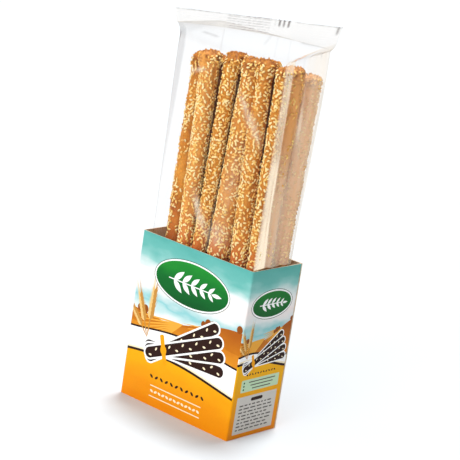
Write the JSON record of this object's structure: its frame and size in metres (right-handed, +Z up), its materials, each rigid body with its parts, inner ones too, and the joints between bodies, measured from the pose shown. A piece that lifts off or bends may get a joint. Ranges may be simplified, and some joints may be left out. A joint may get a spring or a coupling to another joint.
{
  "type": "pack of sesame grissini breadsticks",
  "caption": "Open-topped printed board carton with a sealed clear film bag of sesame-coated grissini breadsticks standing upright in it.",
  "frame": {"origin": "middle of the carton's underside", "axes": "+Z up along the breadsticks, X across the wide front of the carton, -Y out of the front"},
  "size_m": [0.1377, 0.05, 0.277],
  "materials": {
    "printed_board": "satin",
    "clear_film": "gloss",
    "baked_crust": "matte",
    "sesame_seed": "satin"
  },
  "bodies": {
    "root": {"carton": "printed_board", "film_bag": "clear_film"}
  },
  "joints": []
}
